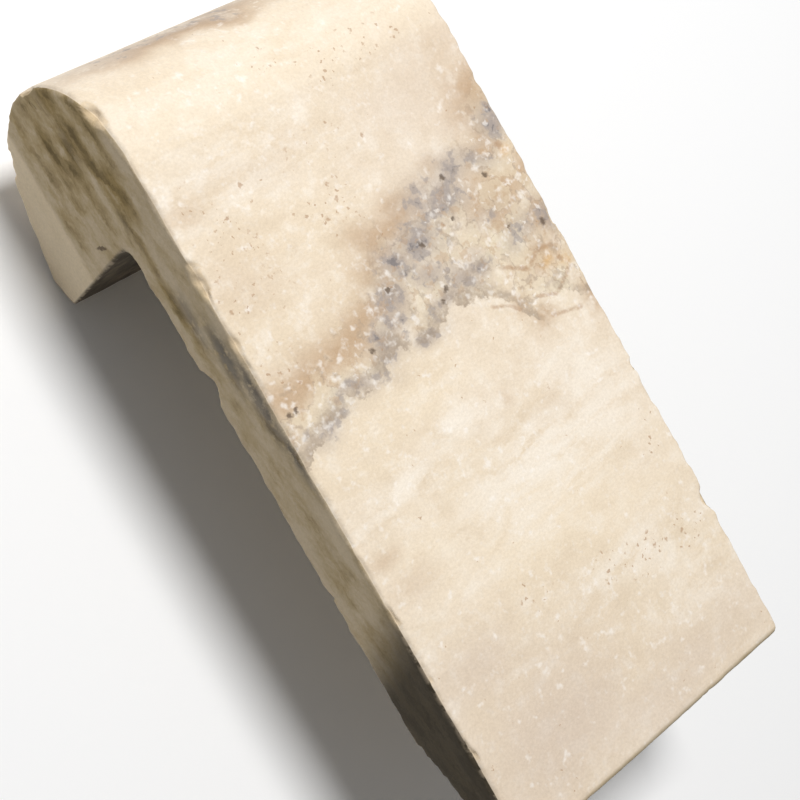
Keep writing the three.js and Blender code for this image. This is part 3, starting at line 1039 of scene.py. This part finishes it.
def vein_band(tree, values, colour):
    """Lays the tan and grey vein band over a colour, with its crumbs, seams and dark tail edge."""
    bent, clot = values["bent"], values["clot"]
    shake = maths(tree, "MULTIPLY", maths(tree, "SUBTRACT", clot, NOISE_MIDDLE), BAND_SHAKE)
    inside = maths(tree, "ADD", values["band_in"], shake)
    outside = maths(tree, "ADD", values["band_out"], shake)
    band = both(tree, step(tree, inside, *BAND_TAIL_RIM), step(tree, outside, *BAND_NOSE_RIM))
    band = both(tree, band, blend(tree, values["dressed"], 1 - BAND_ON_SAWN, BAND_ON_SAWN))
    flow = noise(tree, bent, *FLOW_NOISE)
    crumbs = {"Scale": 1 / CRUMB, "Detail": CRUMB_DETAIL, "Roughness": CRUMB_ROUGHNESS}
    crumbs = add(tree, "ShaderNodeTexNoise", {"Vector": bent, **crumbs}).outputs["Color"]
    crumb = add(tree, "ShaderNodeSeparateColor", {"Color": crumbs}).outputs
    ridge = maths(tree, "ABSOLUTE", maths(tree, "SUBTRACT", flow, NOISE_MIDDLE))
    unbroken = both(tree, band, step(tree, clot, *RIDGE_BREAKS))
    edge = both(tree, step(tree, inside, *EDGE_START), step(tree, inside, *EDGE_FADE))
    edge = both(tree, edge, step(tree, outside, *EDGE_ROOM))
    edge = both(tree, edge, step(tree, values["mottle"], *EDGE_BREAKS))
    values.update({
        "band": band,
        "flow": flow,
        "in_grey": step(tree, values["grey"], *GREY_RISE),
        "greyed": blend(tree, values["grey"], GREY_LIFT, crumb[0]),
        "crumbled": both(tree, band, values["dressed"]),
        "tan_crumb": crumb[1],
        "white_crumb": crumb[2],
        "seamed": both(tree, step(tree, ridge, *RIDGE_RIM), unbroken),
        "drawn": step(tree, blend(tree, clot, SEAM_BREAKS, values["seam"]), *SEAM_RIM),
        "edge_dressed": both(tree, edge, values["dressed"]),
        "edge_sawn": both(tree, edge, both(tree, values["sawn"], values["dull"])),
    })
    return washes(tree, colour, values, BAND_WASHES)


def flecks_and_holes(tree, values, colour):
    """Lays white flecks, rusty pinholes, worn and freshly broken places and holes painted dark with the
    shade in them over a colour.
    """
    bent, mottle, dressed = values["bent"], values["mottle"], values["dressed"]
    speck = blend(tree, values["cloud"], CLOUD_LIFT, noise(tree, values["place"], *SPECK_NOISE))
    speck = blend(tree, values["pale"], PALE_LIFT, speck)
    speck = blend(tree, values["band"], BAND_LIFT, speck)
    pins = both(tree, dots(tree, bent, *PIN_DOTS), step(tree, mottle, *PIN_RISE))
    pitting = blend(tree, mottle, PIT_MOTTLE, values["pitted"])
    pitted = both(tree, dots(tree, bent, *PIT_DOTS), step(tree, pitting, *PIT_RISE))
    pinned = maths(tree, "MAXIMUM", maths(tree, "MAXIMUM", pins, pitted), spots(tree, bent, RUST_SPOTS))
    slot = turned(tree, bent, SLOT_HALF, SLOT_TILT, SLOT_PLACE)
    slot = add(tree, "ShaderNodeVectorMath", {0: slot}, operation="LENGTH").outputs["Value"]
    values.update({
        "flecks": both(tree, step(tree, speck, *FLECK_RISE), dressed),
        "pinned": both(tree, pinned, dressed),
        "fresh": maths(tree, "SUBTRACT", values["chip"], values["painted_shadow"]),
        "holes": maths(tree, "MAXIMUM", spots(tree, bent, HOLES), step(tree, slot, *SLOT_RIM)),
    })
    return washes(tree, colour, values, LAST_WASHES)


def travertine():
    """Honed and tumbled travertine: clouded cream on the dressed faces with a nose painted lighter, streaked
    beds on the sawn ones, darker partly through painted shade, a tan and grey vein band with a ragged edge,
    white flecks, rusty pinholes, holes painted dark with the shade in them, a painted shadow on the near
    joint face and painted shade under the slab."""
    material = bpy.data.materials.new("travertine")
    material.use_nodes = True
    tree = material.node_tree
    tree.nodes.clear()
    output = add(tree, "ShaderNodeOutputMaterial")
    shader = add(tree, "ShaderNodeBsdfPrincipled", {"IOR": IOR, "Specular IOR Level": SPECULAR})
    tree.links.new(shader.outputs[0], output.inputs[0])
    values = stone_values(tree)
    grain, sawn = values["grain"], values["sawn"]
    colour = tint(tree, sawn, clouded_cream(tree, values), sawn_beds(tree, values))
    colour = vein_band(tree, values, colour)
    colour = flecks_and_holes(tree, values, colour)
    shade = blend(tree, grain, GRAIN_SHADE, SHADE_LEAST)
    shaded = add(tree, "ShaderNodeVectorMath", {0: colour, 3: shade}, operation="SCALE").outputs[0]
    rougher = blend(tree, sawn, ROUGHER_SAWN, ROUGHNESS)
    rougher = blend(tree, values["mottle"], ROUGHER_MOTTLE, rougher)
    height = maths(tree, "MULTIPLY", both(tree, sawn, values["clot"]), BUMP_SAWN)
    height = blend(tree, grain, BUMP_GRAIN, height)
    bump = {"Strength": BUMP_STRENGTH, "Distance": BUMP_HEIGHT, "Height": height}
    bump = add(tree, "ShaderNodeBump", bump)
    tree.links.new(shaded, shader.inputs["Base Color"])
    tree.links.new(rougher, shader.inputs["Roughness"])
    tree.links.new(bump.outputs[0], shader.inputs["Normal"])
    return material


def pale_floor():
    """A plain pale floor that the heel of the nose touches."""
    corners = [(x * FLOOR_REACH, y * FLOOR_REACH, LOW[2]) for x, y in ((-1, -1), (1, -1), (1, 1), (-1, 1))]
    mesh = bpy.data.meshes.new("floor")
    mesh.from_pydata(corners, [], [(0, 1, 2, 3)])
    floor = bpy.data.objects.new("floor", mesh)
    bpy.context.scene.collection.objects.link(floor)
    material = bpy.data.materials.new("floor_pale")
    material.use_nodes = True
    shader = material.node_tree.nodes["Principled BSDF"]
    shader.inputs["Base Color"].default_value = (FLOOR_WHITE, FLOOR_WHITE, FLOOR_WHITE, 1)
    shader.inputs["Roughness"].default_value = FLOOR_ROUGHNESS
    mesh.materials.append(material)


def soft_light(name, place, aim, size, power):
    """A square soft lamp at a place, turned to a point."""
    lamp = bpy.data.lights.new(name, "AREA")
    lamp.size = size
    lamp.energy = power
    made = bpy.data.objects.new(name, lamp)
    made.location = place
    made.rotation_euler = (Vector(aim) - Vector(place)).to_track_quat("-Z", "Y").to_euler()
    bpy.context.scene.collection.objects.link(made)


def studio():
    """Pale surroundings and one soft key lamp above the stone, over to its nose and its far side."""
    world = bpy.data.worlds.new("studio")
    world.use_nodes = True
    surroundings = world.node_tree.nodes["Background"].inputs
    surroundings["Color"].default_value = (1, 1, 1, 1)
    surroundings["Strength"].default_value = SURROUNDINGS
    bpy.context.scene.world = world
    soft_light("key", KEY_PLACE, KEY_AIM, KEY_SIZE, KEY_POWER)
    bpy.context.scene.view_settings.view_transform = "Standard"


def camera():
    """The camera, turned about its own axis by the roll."""
    ahead = (CAMERA_AIM - CAMERA_PLACE).normalized()
    level = ahead.cross(Vector((0, 0, 1))).normalized()
    upright = level.cross(ahead)
    right = math.cos(CAMERA_ROLL) * level + math.sin(CAMERA_ROLL) * upright
    up = right.cross(ahead)
    data = bpy.data.cameras.new("camera")
    data.sensor_width = SENSOR_WIDTH
    data.lens = CAMERA_LENS
    made = bpy.data.objects.new("camera", data)
    turn = Matrix((right, up, -ahead)).transposed().to_4x4()
    made.matrix_world = Matrix.Translation(CAMERA_PLACE) @ turn
    bpy.context.scene.collection.objects.link(made)
    bpy.context.scene.camera = made


stone = coping_stone()
stone.data.materials.append(travertine())
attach(stone, "root")
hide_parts("coping_stone")
pale_floor()
studio()
camera()
